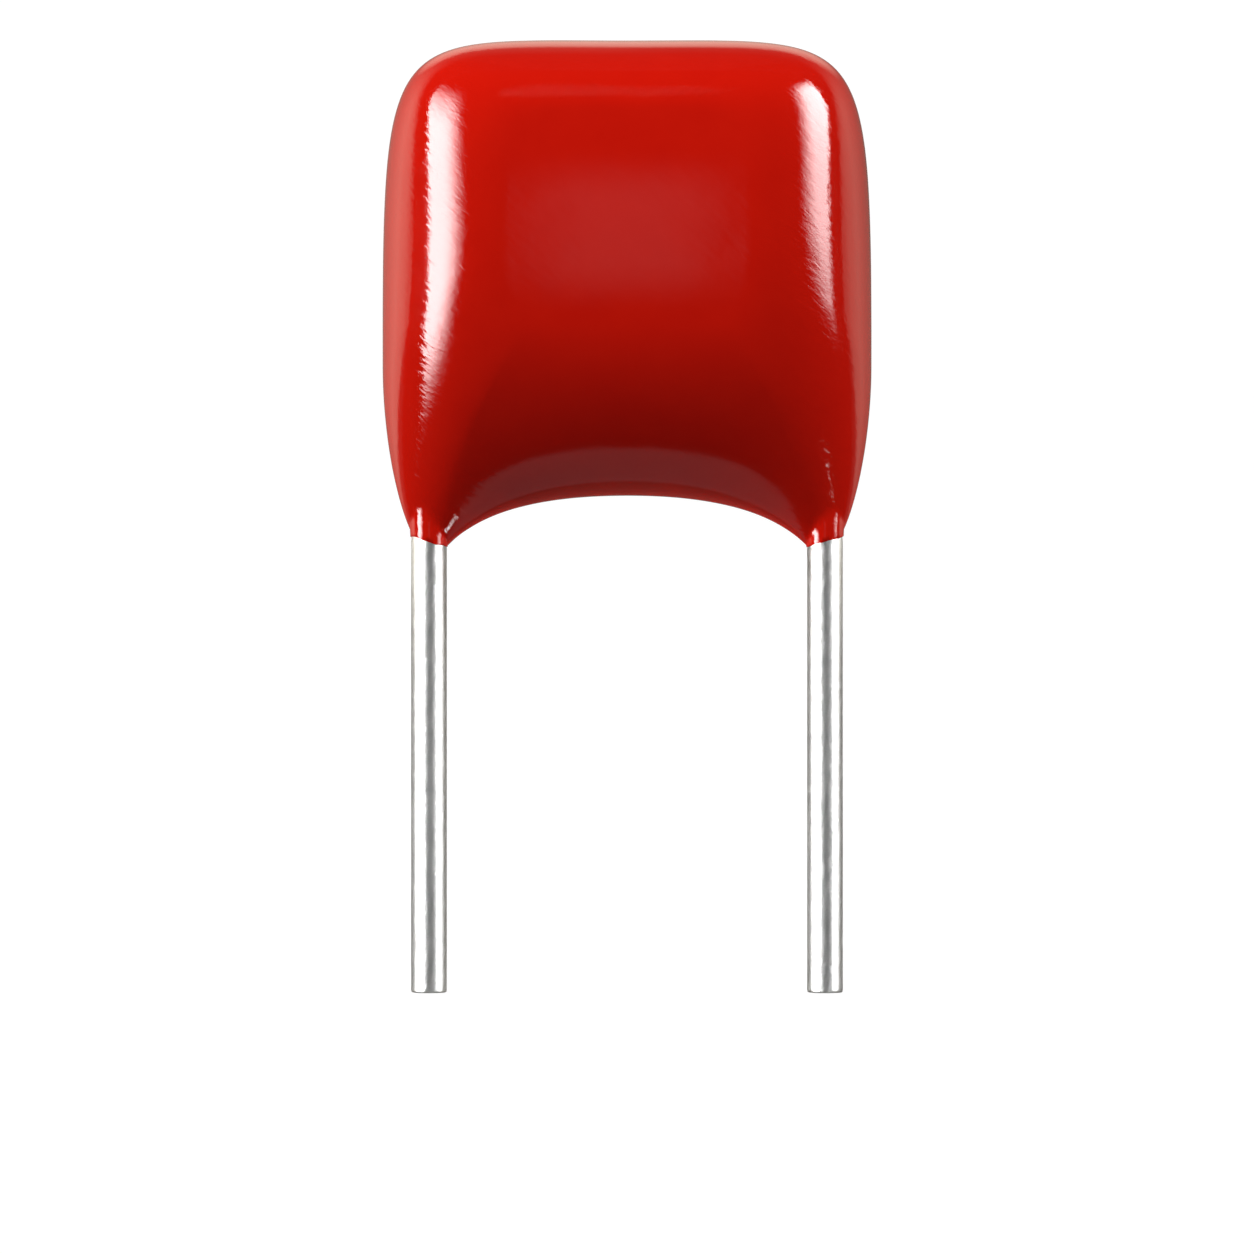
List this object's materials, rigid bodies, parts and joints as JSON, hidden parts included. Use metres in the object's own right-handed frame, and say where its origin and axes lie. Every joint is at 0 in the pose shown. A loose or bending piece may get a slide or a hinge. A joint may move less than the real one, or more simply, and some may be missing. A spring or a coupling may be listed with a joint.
{
  "type": "radial dipped film capacitor",
  "caption": "Flattened block with rounded edges and an arched lower edge, dipped in glossy red epoxy, on straight tinned radial leads; stores charge on a circuit board.",
  "frame": {"origin": "middle of the footprint, on the surface that the broad back face rests on", "axes": "+X from the left lead to the right one, +Y from the cut lead ends to the top of the body, +Z out of the broad front face"},
  "size_m": [0.0124, 0.024, 0.0056],
  "materials": {
    "red_epoxy": "high gloss dipped epoxy",
    "metallised_film": "smooth rolled film with a thin metal layer",
    "sprayed_metal": "grainy flame-sprayed zinc",
    "tinned_wire": "tinned, softly shining"
  },
  "bodies": {
    "root": {"epoxy_coating": "red_epoxy", "film_winding": "metallised_film", "end_spray_left": "sprayed_metal", "end_spray_right": "sprayed_metal", "lead_left": "tinned_wire", "lead_right": "tinned_wire"}
  },
  "joints": []
}
